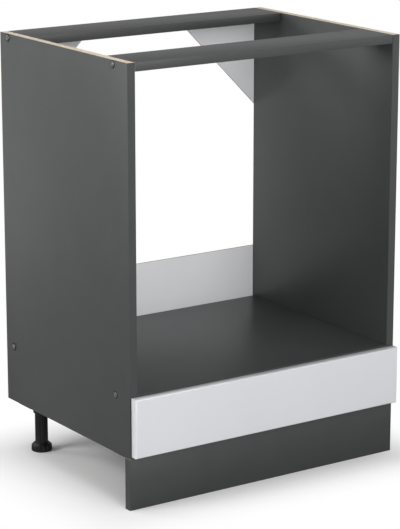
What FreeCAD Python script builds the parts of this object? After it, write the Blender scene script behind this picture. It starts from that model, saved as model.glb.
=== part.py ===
"""Under-counter oven housing, open at the front, top and back.

Two side panels stand on four screw-adjusted plastic legs. They carry an oven shelf and two flat
top rails. A thin back strip and two corner gussets square the frame, a fixed fascia panel closes
the front below the oven, and a plinth board clips to the two front legs.

Millimetres. X runs to the right, Z runs up from the floor. While the pieces are built, Y runs back
from the front plane of the side panels. Each piece is then shifted so that the origin lies under
the middle of the whole unit.
"""
import FreeCAD, Part
import math
import os

from FreeCAD import Vector

# Overall sizes
UNIT_WIDTH = 600.0
UNIT_HEIGHT = 816.0
CARCASS_DEPTH = 444.0
FLOOR_GAP = 98.0

# Boards
BOARD = 16.0
EDGE_BAND = 0.8
EDGE_BAND_ROUND = 0.5
HDF_THICKNESS = 3.0
HDF_INSET = 2.0

# Oven shelf and top rails
SHELF_RISE = 102.0
RAIL_WIDTH = 92.0

# Thin back pieces
STRIP_ABOVE_SHELF = 108.0
STRIP_SCREW_INSET = 24.0
STRIP_SCREW_SPACING = 142.0
GUSSET_LEG = 206.0
GUSSET_SCREW_INSET = 52.0

# Fascia panel under the oven
FASCIA_THICKNESS = 16.0
FASCIA_HEIGHT = 111.0
FASCIA_SIDE_REVEAL = 2.0
FASCIA_BELOW_SHELF_TOP = 2.0
FASCIA_GAP = 2.0
FASCIA_ROUND = 3.5

# Plinth board
PLINTH_THICKNESS = 16.0
PLINTH_TOP_GAP = 1.0
PLINTH_SETBACK = 1.5

# Connector screws with domed cover caps, and the dowels beside them
CONNECTOR_FRONT = 48.0
CONNECTOR_REAR = 27.0
CONNECTOR_LENGTH = 50.0
CONNECTOR_HEAD_RADIUS = 5.0
CONNECTOR_HEAD_RIM = 1.0
CONNECTOR_SHANK_RADIUS = 3.5
CONNECTOR_THREAD_RADIUS = 3.2
CONNECTOR_TIP = 2.0
CONNECTOR_SOCKET_WIDTH = 4.0
CONNECTOR_SOCKET_DEPTH = 3.0
CAP_RADIUS = 7.5
CAP_RIM = 0.5
CAP_DOME = 2.0
CAP_STEM_LENGTH = 2.5
DOWEL_RADIUS = 4.0
DOWEL_LENGTH = 30.0
DOWEL_IN_SIDE = 12.0
DOWEL_IN_RAIL_OFFSET = 30.0
DOWEL_IN_SHELF_OFFSET = 96.0
DOWEL_CHAMFER = 1.0

# Small pan-head screws
SCREW_RADIUS = 1.75
SCREW_HEAD_RADIUS = 3.4
SCREW_HEAD_HEIGHT = 1.6
SCREW_CROWN_RADIUS = 2.0
SCREW_TIP = 3.0
SCREW_CROSS_WIDTH = 0.9
SCREW_CROSS_LENGTH = 3.6
SCREW_CROSS_DEPTH = 0.9
SIDE_SCREW_LENGTH = 16.0
FRONT_SCREW_LENGTH = 14.0
HDF_SCREW_LENGTH = 19.0

# Adjustable legs
LEG_FROM_OUTSIDE = 40.0
REAR_LEG_FROM_BACK = 58.0
TUBE_RADIUS = 12.5
TUBE_FLUTES = 14
TUBE_FLUTE_RADIUS = 1.2
TUBE_PLAIN_END = 4.0
TUBE_COLLAR_RADIUS = 15.5
TUBE_COLLAR_HEIGHT = 18.0
SPIGOT_RADIUS = 10.0
SPIGOT_LENGTH = 26.0
FOOT_RADIUS = 20.0
FOOT_RIM_HEIGHT = 11.0
FOOT_CHAMFER = 1.0
FOOT_SHOULDER_RADIUS = 15.0
FOOT_SHOULDER_HEIGHT = 5.0
TUBE_IN_FOOT = 2.0
FOOT_NOTCHES = 12
FOOT_NOTCH_RADIUS = 2.6
FOOT_NOTCH_DEPTH = 1.7
FOOT_BASE_RING = 4.0
STEM_RADIUS = 7.0
STEM_IN_TUBE = 35.0
FOOT_TRAVEL = 9.0
THREAD_PITCH = 3.0
THREAD_DEPTH = 0.8
THREAD_FLAT = 0.9

# Leg bracket, screwed to the inner face of a side panel
BRACKET_BEHIND_PLINTH = 1.0
BRACKET_WIDTH = 45.0
BRACKET_PLATE = 4.0
BRACKET_RISE = 48.0
BRACKET_CORNER = 6.0
BRACKET_LIP = 3.0
BRACKET_LIP_INSET = 4.0
SOCKET_FLANGE_RADIUS = 22.0
SOCKET_FLANGE = 4.0
SOCKET_WALL = 4.0
SOCKET_RISE = 30.0
BRACKET_WEB = 3.0
BRACKET_SCREW_SPREAD = 17.0
BRACKET_SCREW_LOW = 12.0
BRACKET_SCREW_HIGH = 40.0

# Plinth clip, screwed to the back of the plinth board
CLIP_PLATE_WIDTH = 54.0
CLIP_PLATE_HEIGHT = 30.0
CLIP_PLATE = 3.0
CLIP_HEIGHT = 20.0
CLIP_WALL = 2.6
CLIP_ARM_REACH = 8.0
CLIP_NECK_WIDTH = 12.0
CLIP_CENTRE_HEIGHT = 52.0
CLIP_SCREW_SPREAD = 20.0

# Steel angles that hold the fascia, between the front legs' brackets and the shelf
ANGLE_LEG = 26.0
ANGLE_THICKNESS = 2.0
ANGLE_END_GAP = 6.0
ANGLE_HOLE_FROM_SIDE = 8.0
ANGLE_HOLE_FROM_END = 9.0

# Clearances
BORE_CLEARANCE = 0.05
RUNNING_CLEARANCE = 0.3
HOLE_CLEARANCE = 0.25
BLIND_CLEARANCE = 0.5
CUT_MARGIN = 1.0
EDGE_TOLERANCE = 0.001

# Worked out from the sizes above
HALF_WIDTH = UNIT_WIDTH / 2
INNER_X = HALF_WIDTH - BOARD
SHELF_BOTTOM = FLOOR_GAP + SHELF_RISE
SHELF_TOP = SHELF_BOTTOM + BOARD
RAIL_BOTTOM = UNIT_HEIGHT - BOARD
REAR_RAIL_FRONT = CARCASS_DEPTH - RAIL_WIDTH
STRIP_TOP = SHELF_TOP + STRIP_ABOVE_SHELF
FASCIA_TOP = SHELF_TOP - FASCIA_BELOW_SHELF_TOP
FASCIA_BOTTOM = FASCIA_TOP - FASCIA_HEIGHT
FASCIA_BACK = -FASCIA_GAP
FASCIA_FRONT = FASCIA_BACK - FASCIA_THICKNESS
FASCIA_HALF_WIDTH = HALF_WIDTH - FASCIA_SIDE_REVEAL
PLINTH_TOP = FLOOR_GAP - PLINTH_TOP_GAP
PLINTH_BACK = PLINTH_SETBACK + PLINTH_THICKNESS
RAIL_MIDDLE = RAIL_BOTTOM + BOARD / 2
SHELF_MIDDLE = SHELF_BOTTOM + BOARD / 2
REAR_CONNECTOR_Y = CARCASS_DEPTH - CONNECTOR_REAR
HDF_BACK = CARCASS_DEPTH + HDF_THICKNESS
LEG_X = HALF_WIDTH - LEG_FROM_OUTSIDE
FRONT_LEG_Y = PLINTH_BACK + BRACKET_BEHIND_PLINTH + BRACKET_WIDTH / 2
LEG_ROWS = {"front": FRONT_LEG_Y, "rear": CARCASS_DEPTH - REAR_LEG_FROM_BACK}
BRACKET_UNDERSIDE = FLOOR_GAP - BRACKET_LIP
FOOT_TOP = FOOT_RIM_HEIGHT + FOOT_SHOULDER_HEIGHT
TUBE_BOTTOM = FOOT_TOP - TUBE_IN_FOOT
FOOT_CUP_RADIUS = TUBE_RADIUS + RUNNING_CLEARANCE
FOOT_CUP_FLOOR = TUBE_BOTTOM - FOOT_TRAVEL - BLIND_CLEARANCE
STEM_TOP = TUBE_BOTTOM + STEM_IN_TUBE
BORE_RADIUS = STEM_RADIUS + RUNNING_CLEARANCE
COLLAR_BOTTOM = BRACKET_UNDERSIDE - TUBE_COLLAR_HEIGHT
SPIGOT_TOP = BRACKET_UNDERSIDE + SPIGOT_LENGTH
ANGLE_BOTTOM = FLOOR_GAP + BRACKET_RISE + ANGLE_END_GAP
ANGLE_TOP = SHELF_BOTTOM - ANGLE_END_GAP
UNIT_FRONT = FASCIA_FRONT
UNIT_BACK = HDF_BACK + SCREW_HEAD_HEIGHT
MIDDLE_Y = (UNIT_FRONT + UNIT_BACK) / 2

RIGHTWARD = Vector(1, 0, 0)
BACKWARD = Vector(0, 1, 0)
UPWARD = Vector(0, 0, 1)


def save(name, shape):
    """Shift a piece into the unit's own frame and write it."""
    shape = shape.copy()
    shape.translate(Vector(0, -MIDDLE_Y, 0))
    shape.exportStep("parts/" + name + ".step")
    print(name, len(shape.Solids), "solids, valid", shape.isValid(), "volume", round(shape.Volume, 1))


def block(x_range, y_range, z_range):
    """A box between two values on each axis."""
    low = Vector(x_range[0], y_range[0], z_range[0])
    size = Vector(x_range[1], y_range[1], z_range[1]) - low
    return Part.makeBox(size.x, size.y, size.z, low)


def turned(profile):
    """Revolve a closed profile of (radius, height) points about the Z axis."""
    points = [Vector(radius, 0, height) for radius, height in profile]
    face = Part.Face(Part.makePolygon(points + [points[0]]))
    return face.revolve(Vector(0, 0, 0), UPWARD, 360)


def rod(radius, start, direction, length):
    """A cylinder from a start point along a direction."""
    return Part.makeCylinder(radius, length, start, direction)


def aimed(shape, at, direction):
    """Move a piece that was made on the Z axis to a point, with its +Z along a direction."""
    moved = shape.copy()
    moved.Placement = FreeCAD.Placement(at, FreeCAD.Rotation(UPWARD, direction))
    return moved


def mirrored(shape):
    """The same piece on the other side of the unit."""
    return shape.mirror(Vector(0, 0, 0), RIGHTWARD)


def both_sides(shapes):
    """Pieces made for the left side, with their mirror images."""
    return shapes + [mirrored(shape) for shape in shapes]


def edges_on_plane(shape, axis, value):
    """Edges that lie wholly in the plane where one coordinate has a value."""
    found = []
    for edge in shape.Edges:
        if all(abs(getattr(vertex.Point, axis) - value) < EDGE_TOLERANCE for vertex in edge.Vertexes):
            found.append(edge)
    return found


def longest_edges(edges):
    """Only the edges that are as long as the longest one."""
    longest = max(edge.Length for edge in edges)
    return [edge for edge in edges if edge.Length > longest - EDGE_TOLERANCE]


# Where the fasteners go. Each entry is a point on the left side of the unit.

def connector_points():
    """Screw axes on the left outer face: two through the shelf's ends, one through each rail's."""
    return [
        Vector(-HALF_WIDTH, y, z)
        for z in (SHELF_MIDDLE, RAIL_MIDDLE)
        for y in (CONNECTOR_FRONT, REAR_CONNECTOR_Y)
    ]


def dowel_points():
    """Dowel axes where the left ends of the shelf and rails meet the side panel."""
    offsets = {SHELF_MIDDLE: DOWEL_IN_SHELF_OFFSET, RAIL_MIDDLE: DOWEL_IN_RAIL_OFFSET}
    points = []
    for z, offset in offsets.items():
        points.append(Vector(-INNER_X, CONNECTOR_FRONT + offset, z))
        points.append(Vector(-INNER_X, REAR_CONNECTOR_Y - offset, z))
    return points


def bracket_screw_points():
    """Under-head points of the screws through the left leg brackets' plates."""
    points = []
    for leg_y in LEG_ROWS.values():
        x = -INNER_X + BRACKET_PLATE
        for side in (-1, 1):
            points.append(Vector(x, leg_y + side * BRACKET_SCREW_SPREAD, FLOOR_GAP + BRACKET_SCREW_LOW))
        points.append(Vector(x, leg_y, FLOOR_GAP + BRACKET_SCREW_HIGH))
    return points


def angle_screw_points():
    """Screws of the left steel angle: two into the side panel and two into the fascia."""
    into_side = []
    into_fascia = []
    reach = ANGLE_LEG - ANGLE_HOLE_FROM_SIDE
    for z in (ANGLE_BOTTOM + ANGLE_HOLE_FROM_END, ANGLE_TOP - ANGLE_HOLE_FROM_END):
        into_side.append(Vector(-INNER_X + ANGLE_THICKNESS, FASCIA_BACK + reach, z))
        into_fascia.append(Vector(-INNER_X + reach, FASCIA_BACK + ANGLE_THICKNESS, z))
    return into_side, into_fascia


def gusset_screw_points():
    """Screws of the left gusset, into the side panel's rear edge and the rear rail's rear edge."""
    edge_x = -HALF_WIDTH + BOARD / 2
    corner_x = -HALF_WIDTH + HDF_INSET
    corner_z = UNIT_HEIGHT - HDF_INSET
    from_corner = (GUSSET_SCREW_INSET, GUSSET_LEG - GUSSET_SCREW_INSET)
    points = [Vector(edge_x, HDF_BACK, corner_z - distance) for distance in from_corner]
    points += [Vector(corner_x + distance, HDF_BACK, RAIL_MIDDLE) for distance in from_corner]
    return points


def strip_side_screw_points():
    """Screws of the back strip into the left side panel's rear edge."""
    edge_x = -HALF_WIDTH + BOARD / 2
    heights = (SHELF_TOP + STRIP_SCREW_INSET, STRIP_TOP - STRIP_SCREW_INSET)
    return [Vector(edge_x, HDF_BACK, z) for z in heights]


def strip_shelf_screw_points():
    """Screws of the back strip into the left half of the shelf's rear edge."""
    from_middle = (STRIP_SCREW_SPACING / 2, STRIP_SCREW_SPACING * 3 / 2)
    return [Vector(-distance, HDF_BACK, SHELF_MIDDLE) for distance in from_middle]


def clip_screw_points():
    """Screws of the left plinth clip, into the back of the plinth board."""
    return [
        Vector(-LEG_X + side * CLIP_SCREW_SPREAD, PLINTH_BACK + CLIP_PLATE, CLIP_CENTRE_HEIGHT)
        for side in (-1, 1)
    ]


# Fasteners, made on the Z axis: +Z points from the screw's tip to its head.

def pan_head_screw(length):
    """A pan-head screw with a cross recess. Z = 0 is the underside of its head."""
    screw = turned([
        (0, -length),
        (SCREW_RADIUS, -length + SCREW_TIP),
        (SCREW_RADIUS, 0),
        (SCREW_HEAD_RADIUS, 0),
        (SCREW_HEAD_RADIUS, SCREW_HEAD_HEIGHT / 2),
        (SCREW_CROWN_RADIUS, SCREW_HEAD_HEIGHT),
        (0, SCREW_HEAD_HEIGHT),
    ])
    long_half = SCREW_CROSS_LENGTH / 2
    short_half = SCREW_CROSS_WIDTH / 2
    recess_z = (SCREW_HEAD_HEIGHT - SCREW_CROSS_DEPTH, SCREW_HEAD_HEIGHT + CUT_MARGIN)
    slot = block((-long_half, long_half), (-short_half, short_half), recess_z)
    cross_slot = block((-short_half, short_half), (-long_half, long_half), recess_z)
    return screw.cut([slot, cross_slot])


def screw_hole(point, direction, length):
    """The pilot hole of a small screw whose head bears at a point. The screw points along -direction."""
    radius = SCREW_RADIUS + BORE_CLEARANCE
    return rod(radius, point, direction * -1, length + BLIND_CLEARANCE)


def hexagon_prism(width, height):
    """A hexagon socket of a width across flats, from Z = 0 downwards."""
    corner_radius = width / math.sqrt(3)
    corners = []
    for corner in range(6):
        angle = corner * math.pi / 3
        corners.append(Vector(corner_radius * math.cos(angle), corner_radius * math.sin(angle), 0))
    return Part.Face(Part.makePolygon(corners + corners[:1])).extrude(Vector(0, 0, -height))


def connector_screw():
    """A countersunk connector screw with a hexagon socket. Z = 0 is the top of its head."""
    sink = CONNECTOR_HEAD_RADIUS - CONNECTOR_SHANK_RADIUS
    screw = turned([
        (0, 0),
        (CONNECTOR_HEAD_RADIUS, 0),
        (CONNECTOR_HEAD_RADIUS, -CONNECTOR_HEAD_RIM),
        (CONNECTOR_SHANK_RADIUS, -CONNECTOR_HEAD_RIM - sink),
        (CONNECTOR_SHANK_RADIUS, -BOARD),
        (CONNECTOR_THREAD_RADIUS, -BOARD),
        (CONNECTOR_THREAD_RADIUS, -CONNECTOR_LENGTH + CONNECTOR_TIP),
        (CONNECTOR_THREAD_RADIUS - CONNECTOR_TIP, -CONNECTOR_LENGTH),
        (0, -CONNECTOR_LENGTH),
    ])
    return screw.cut(hexagon_prism(CONNECTOR_SOCKET_WIDTH, CONNECTOR_SOCKET_DEPTH))


def connector_hole():
    """What a connector screw takes out of the boards that it joins."""
    gap = BORE_CLEARANCE
    sink = CONNECTOR_HEAD_RADIUS - CONNECTOR_SHANK_RADIUS
    return turned([
        (0, CUT_MARGIN),
        (CONNECTOR_HEAD_RADIUS + gap, CUT_MARGIN),
        (CONNECTOR_HEAD_RADIUS + gap, -CONNECTOR_HEAD_RIM - gap),
        (CONNECTOR_SHANK_RADIUS + gap, -CONNECTOR_HEAD_RIM - sink - gap),
        (CONNECTOR_SHANK_RADIUS + gap, -BOARD),
        (CONNECTOR_THREAD_RADIUS + gap, -BOARD),
        (CONNECTOR_THREAD_RADIUS + gap, -CONNECTOR_LENGTH - BLIND_CLEARANCE),
        (0, -CONNECTOR_LENGTH - BLIND_CLEARANCE),
    ])


def cover_cap():
    """A domed cap over a screw head, with a stem that plugs into the head's socket."""
    stem_radius = CONNECTOR_SOCKET_WIDTH / 2 - BORE_CLEARANCE
    rim = Vector(CAP_RADIUS, 0, CAP_RIM)
    top = Vector(0, 0, CAP_DOME)
    rise = CAP_DOME - CAP_RIM
    sphere = (CAP_RADIUS ** 2 + rise ** 2) / (2 * rise)
    half_angle = math.asin(CAP_RADIUS / sphere) / 2
    middle = Vector(sphere * math.sin(half_angle), 0, CAP_DOME - sphere * (1 - math.cos(half_angle)))
    dome = Part.Arc(rim, middle, top).toShape()
    corners = [top, Vector(0, 0, -CAP_STEM_LENGTH), Vector(stem_radius, 0, -CAP_STEM_LENGTH)]
    corners += [Vector(stem_radius, 0, 0), Vector(CAP_RADIUS, 0, 0), rim]
    sides = [Part.makeLine(start, end) for start, end in zip(corners, corners[1:])]
    return Part.Face(Part.Wire(sides + [dome])).revolve(Vector(0, 0, 0), UPWARD, 360)


def dowel():
    """A wooden dowel with chamfered ends. Z = 0 is where the two boards meet."""
    deep = DOWEL_LENGTH - DOWEL_IN_SIDE
    tip = DOWEL_RADIUS - DOWEL_CHAMFER
    return turned([
        (0, -DOWEL_IN_SIDE),
        (tip, -DOWEL_IN_SIDE),
        (DOWEL_RADIUS, -DOWEL_IN_SIDE + DOWEL_CHAMFER),
        (DOWEL_RADIUS, deep - DOWEL_CHAMFER),
        (tip, deep),
        (0, deep),
    ])


def dowel_hole():
    """What a dowel takes out of both boards."""
    start = Vector(0, 0, -DOWEL_IN_SIDE - BLIND_CLEARANCE)
    length = DOWEL_LENGTH + 2 * BLIND_CLEARANCE
    return rod(DOWEL_RADIUS + BORE_CLEARANCE, start, UPWARD, length)


def left_joinery_holes():
    """Holes for the connector screws and dowels at the left ends of the shelf and rails."""
    tools = [aimed(connector_hole(), point, RIGHTWARD * -1) for point in connector_points()]
    tools += [aimed(dowel_hole(), point, RIGHTWARD) for point in dowel_points()]
    return tools


def hdf_holes(points):
    """Pilot holes for the screws that go in from behind."""
    return [screw_hole(point, BACKWARD, HDF_SCREW_LENGTH) for point in points]


# Boards

def left_side_panel():
    """Melamine-faced side panel, edged at the front only."""
    panel = block((-HALF_WIDTH, -INNER_X), (EDGE_BAND, CARCASS_DEPTH), (FLOOR_GAP, UNIT_HEIGHT))
    into_side, _ = angle_screw_points()
    tools = left_joinery_holes()
    tools += [screw_hole(point, RIGHTWARD, SIDE_SCREW_LENGTH) for point in bracket_screw_points()]
    tools += [screw_hole(point, RIGHTWARD, SIDE_SCREW_LENGTH) for point in into_side]
    tools += hdf_holes(gusset_screw_points()[:2] + strip_side_screw_points())
    return panel.cut(tools)


def edge_band(x_range, y_front, z_range):
    """Edging glued to the front edge of a board, with its outer corners eased."""
    band = block(x_range, (y_front, y_front + EDGE_BAND), z_range)
    return band.makeFillet(EDGE_BAND_ROUND, longest_edges(edges_on_plane(band, "y", y_front)))


def cross_board(y_range, z_bottom, extra_holes):
    """A board between the side panels, drilled at both ends."""
    board = block((-INNER_X, INNER_X), y_range, (z_bottom, z_bottom + BOARD))
    return board.cut(both_sides(left_joinery_holes() + extra_holes))


def back_strip():
    """Thin strip across the back, from the shelf's underside to above the shelf."""
    half = HALF_WIDTH - HDF_INSET
    strip = block((-half, half), (CARCASS_DEPTH, HDF_BACK), (SHELF_BOTTOM, STRIP_TOP))
    return strip.cut(both_sides(hdf_holes(strip_side_screw_points() + strip_shelf_screw_points())))


def left_gusset():
    """Thin right-angled triangle in the top rear corner."""
    x = -HALF_WIDTH + HDF_INSET
    z = UNIT_HEIGHT - HDF_INSET
    corner = Vector(x, CARCASS_DEPTH, z)
    along_rail = Vector(x + GUSSET_LEG, CARCASS_DEPTH, z)
    down_side = Vector(x, CARCASS_DEPTH, z - GUSSET_LEG)
    face = Part.Face(Part.makePolygon([corner, along_rail, down_side, corner]))
    return face.extrude(BACKWARD * HDF_THICKNESS).cut(hdf_holes(gusset_screw_points()))


def fascia_panel():
    """Front panel below the oven, with rounded front edges."""
    panel = block(
        (-FASCIA_HALF_WIDTH, FASCIA_HALF_WIDTH),
        (FASCIA_FRONT, FASCIA_BACK),
        (FASCIA_BOTTOM, FASCIA_TOP),
    )
    panel = panel.makeFillet(FASCIA_ROUND, edges_on_plane(panel, "y", FASCIA_FRONT))
    _, into_fascia = angle_screw_points()
    holes = [screw_hole(point, BACKWARD, FRONT_SCREW_LENGTH) for point in into_fascia]
    return panel.cut(both_sides(holes))


def plinth_board():
    """Board on the floor between the edged ends."""
    half = HALF_WIDTH - EDGE_BAND
    board = block((-half, half), (PLINTH_SETBACK, PLINTH_BACK), (0, PLINTH_TOP))
    holes = [screw_hole(point, BACKWARD, FRONT_SCREW_LENGTH) for point in clip_screw_points()]
    return board.cut(both_sides(holes))


def left_plinth_band():
    """Edging on the plinth's end."""
    band = block((-HALF_WIDTH, -HALF_WIDTH + EDGE_BAND), (PLINTH_SETBACK, PLINTH_BACK), (0, PLINTH_TOP))
    return band.makeFillet(EDGE_BAND_ROUND, longest_edges(edges_on_plane(band, "x", -HALF_WIDTH)))


# Legs, made on the Z axis

def fluted_tube():
    """Fixed leg tube with a collar and a spigot at its top, bored for the foot's stem."""
    tube = turned([
        (0, TUBE_BOTTOM),
        (TUBE_RADIUS, TUBE_BOTTOM),
        (TUBE_RADIUS, COLLAR_BOTTOM),
        (TUBE_COLLAR_RADIUS, COLLAR_BOTTOM),
        (TUBE_COLLAR_RADIUS, BRACKET_UNDERSIDE),
        (SPIGOT_RADIUS, BRACKET_UNDERSIDE),
        (SPIGOT_RADIUS, SPIGOT_TOP),
        (0, SPIGOT_TOP),
    ])
    bore_top = STEM_TOP + FOOT_TRAVEL + BLIND_CLEARANCE
    cuts = [rod(BORE_RADIUS, Vector(0, 0, 0), UPWARD, bore_top)]
    flute_length = COLLAR_BOTTOM - TUBE_BOTTOM - 2 * TUBE_PLAIN_END
    for turn in range(TUBE_FLUTES):
        angle = 2 * math.pi * turn / TUBE_FLUTES
        flute_x = TUBE_RADIUS * math.cos(angle)
        flute_y = TUBE_RADIUS * math.sin(angle)
        start = Vector(flute_x, flute_y, TUBE_BOTTOM + TUBE_PLAIN_END)
        cuts.append(rod(TUBE_FLUTE_RADIUS, start, UPWARD, flute_length))
    return tube.cut(cuts)


def screw_foot():
    """Foot whose cup takes the tube's end, with a sloping shoulder and a threaded stem."""
    root = STEM_RADIUS - THREAD_DEPTH
    profile = [
        (0, 0),
        (FOOT_RADIUS - FOOT_CHAMFER, 0),
        (FOOT_RADIUS, FOOT_CHAMFER),
        (FOOT_RADIUS, FOOT_RIM_HEIGHT),
        (FOOT_SHOULDER_RADIUS, FOOT_TOP),
        (FOOT_CUP_RADIUS, FOOT_TOP),
        (FOOT_CUP_RADIUS, FOOT_CUP_FLOOR),
        (root, FOOT_CUP_FLOOR),
    ]
    flank = THREAD_PITCH / 2 - THREAD_FLAT
    for turn in range(int(STEM_IN_TUBE // THREAD_PITCH)):
        start = TUBE_BOTTOM + turn * THREAD_PITCH
        profile.append((root, start))
        profile.append((root, start + THREAD_FLAT))
        profile.append((STEM_RADIUS, start + THREAD_FLAT + flank))
        profile.append((STEM_RADIUS, start + THREAD_FLAT * 2 + flank))
    profile.append((root, STEM_TOP))
    profile.append((0, STEM_TOP))
    foot = turned(profile)
    notches = []
    reach = FOOT_RADIUS + FOOT_NOTCH_RADIUS - FOOT_NOTCH_DEPTH
    for turn in range(FOOT_NOTCHES):
        angle = 2 * math.pi * turn / FOOT_NOTCHES
        start = Vector(reach * math.cos(angle), reach * math.sin(angle), FOOT_BASE_RING)
        notches.append(rod(FOOT_NOTCH_RADIUS, start, UPWARD, FOOT_TOP))
    return foot.cut(notches)


def left_leg_bracket(leg_y):
    """Moulded bracket: a plate on the panel's inner face, a lip under its edge and a socket."""
    plate_y = (leg_y - BRACKET_WIDTH / 2, leg_y + BRACKET_WIDTH / 2)
    plate_x = (-INNER_X, -INNER_X + BRACKET_PLATE)
    plate = block(plate_x, plate_y, (BRACKET_UNDERSIDE, FLOOR_GAP + BRACKET_RISE))
    upper = [
        edge for edge in edges_on_plane(plate, "z", FLOOR_GAP + BRACKET_RISE)
        if edge.BoundBox.YLength < edge.BoundBox.XLength
    ]
    plate = plate.makeChamfer(BRACKET_CORNER, upper)
    lip_x = (-HALF_WIDTH + BRACKET_LIP_INSET, -INNER_X)
    lip = block(lip_x, plate_y, (BRACKET_UNDERSIDE, FLOOR_GAP))
    axis = Vector(-LEG_X, leg_y, BRACKET_UNDERSIDE)
    flange = rod(SOCKET_FLANGE_RADIUS, axis, UPWARD, SOCKET_FLANGE)
    boss_radius = SPIGOT_RADIUS + SOCKET_WALL
    boss = rod(boss_radius, axis, UPWARD, SOCKET_RISE)
    floor_y = (leg_y - SOCKET_FLANGE_RADIUS, leg_y + SOCKET_FLANGE_RADIUS)
    floor = block((-INNER_X, -LEG_X), floor_y, (BRACKET_UNDERSIDE, BRACKET_UNDERSIDE + SOCKET_FLANGE))
    pieces = [lip, flange, boss, floor]
    web_z = (BRACKET_UNDERSIDE, BRACKET_UNDERSIDE + SOCKET_RISE)
    for side in (-1, 1):
        middle = leg_y + side * (boss_radius - BRACKET_WEB)
        web_y = (middle - BRACKET_WEB / 2, middle + BRACKET_WEB / 2)
        pieces.append(block((-INNER_X, -LEG_X), web_y, web_z))
    bracket = plate.fuse(pieces).removeSplitter()
    behind_panel = block((-HALF_WIDTH, -INNER_X), plate_y, (FLOOR_GAP, FLOOR_GAP + BRACKET_RISE))
    socket = rod(SPIGOT_RADIUS + BORE_CLEARANCE, axis, UPWARD, SPIGOT_LENGTH + BLIND_CLEARANCE)
    holes = [
        rod(SCREW_RADIUS + HOLE_CLEARANCE, point - RIGHTWARD * BRACKET_PLATE, RIGHTWARD, BRACKET_PLATE)
        for point in bracket_screw_points()
    ]
    return bracket.cut([behind_panel, socket] + holes)


def at_leg(shape, side, leg_y):
    """Move a piece made on the Z axis to a leg's axis."""
    moved = shape.copy()
    moved.translate(Vector(side * LEG_X, leg_y, 0))
    return moved


# Plinth clips and fascia angles

def left_plinth_clip():
    """Clip that is pushed onto a front leg's tube from the front. Its mouth opens backwards."""
    z_range = (CLIP_CENTRE_HEIGHT - CLIP_HEIGHT / 2, CLIP_CENTRE_HEIGHT + CLIP_HEIGHT / 2)
    plate_z = (CLIP_CENTRE_HEIGHT - CLIP_PLATE_HEIGHT / 2, CLIP_CENTRE_HEIGHT + CLIP_PLATE_HEIGHT / 2)
    plate_x = (-LEG_X - CLIP_PLATE_WIDTH / 2, -LEG_X + CLIP_PLATE_WIDTH / 2)
    plate = block(plate_x, (PLINTH_BACK, PLINTH_BACK + CLIP_PLATE), plate_z)
    inner = TUBE_RADIUS + RUNNING_CLEARANCE
    outer = inner + CLIP_WALL
    axis = Vector(-LEG_X, FRONT_LEG_Y, z_range[0])
    arm_end = FRONT_LEG_Y + CLIP_ARM_REACH
    ring = rod(outer, axis, UPWARD, CLIP_HEIGHT)
    arms = block((-LEG_X - outer, -LEG_X + outer), (FRONT_LEG_Y, arm_end), z_range)
    neck_x = (-LEG_X - CLIP_NECK_WIDTH / 2, -LEG_X + CLIP_NECK_WIDTH / 2)
    neck = block(neck_x, (PLINTH_BACK, FRONT_LEG_Y - inner), z_range)
    clip = plate.fuse([ring, arms, neck]).removeSplitter()
    seat = rod(inner, axis, UPWARD, CLIP_HEIGHT)
    mouth = block((-LEG_X - inner, -LEG_X + inner), (FRONT_LEG_Y, arm_end + inner), z_range)
    holes = [
        rod(SCREW_RADIUS + HOLE_CLEARANCE, point - BACKWARD * CLIP_PLATE, BACKWARD, CLIP_PLATE)
        for point in clip_screw_points()
    ]
    return clip.cut([seat, mouth] + holes)


def left_fascia_angle():
    """Bent steel angle between the side panel's inner face and the back of the fascia."""
    into_side, into_fascia = angle_screw_points()
    z_range = (ANGLE_BOTTOM, ANGLE_TOP)
    x_thin = (-INNER_X, -INNER_X + ANGLE_THICKNESS)
    y_thin = (FASCIA_BACK, FASCIA_BACK + ANGLE_THICKNESS)
    side_leg = block(x_thin, (FASCIA_BACK, FASCIA_BACK + ANGLE_LEG), z_range)
    front_leg = block((-INNER_X, -INNER_X + ANGLE_LEG), y_thin, z_range)
    radius = SCREW_RADIUS + HOLE_CLEARANCE
    holes = [
        rod(radius, point - RIGHTWARD * ANGLE_THICKNESS, RIGHTWARD, ANGLE_THICKNESS) for point in into_side
    ]
    holes += [
        rod(radius, point - BACKWARD * ANGLE_THICKNESS, BACKWARD, ANGLE_THICKNESS) for point in into_fascia
    ]
    return side_leg.fuse(front_leg).removeSplitter().cut(holes)


def screw_group(points, direction, length):
    """Screws on the left side of the unit, with their heads at the given points."""
    return [aimed(pan_head_screw(length), point, direction) for point in points]


def save_boards():
    """Side panels, shelf, rails, fascia, plinth and their edging."""
    side = left_side_panel()
    save("left_side_panel", side)
    save("right_side_panel", mirrored(side))
    side_band = edge_band((-HALF_WIDTH, -INNER_X), 0, (FLOOR_GAP, UNIT_HEIGHT))
    save("left_side_edge_band", side_band)
    save("right_side_edge_band", mirrored(side_band))
    cross_x = (-INNER_X, INNER_X)
    shelf_holes = hdf_holes(strip_shelf_screw_points())
    save("oven_shelf", cross_board((EDGE_BAND, CARCASS_DEPTH), SHELF_BOTTOM, shelf_holes))
    save("shelf_edge_band", edge_band(cross_x, 0, (SHELF_BOTTOM, SHELF_TOP)))
    rail_z = (RAIL_BOTTOM, UNIT_HEIGHT)
    save("front_top_rail", cross_board((EDGE_BAND, RAIL_WIDTH), RAIL_BOTTOM, []))
    save("front_rail_edge_band", edge_band(cross_x, 0, rail_z))
    rear_rail_y = (REAR_RAIL_FRONT + EDGE_BAND, CARCASS_DEPTH)
    save("rear_top_rail", cross_board(rear_rail_y, RAIL_BOTTOM, hdf_holes(gusset_screw_points()[2:])))
    save("rear_rail_edge_band", edge_band(cross_x, REAR_RAIL_FRONT, rail_z))
    save("fascia_panel", fascia_panel())
    save("plinth_board", plinth_board())
    save("plinth_end_bands", Part.Compound(both_sides([left_plinth_band()])))


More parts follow.
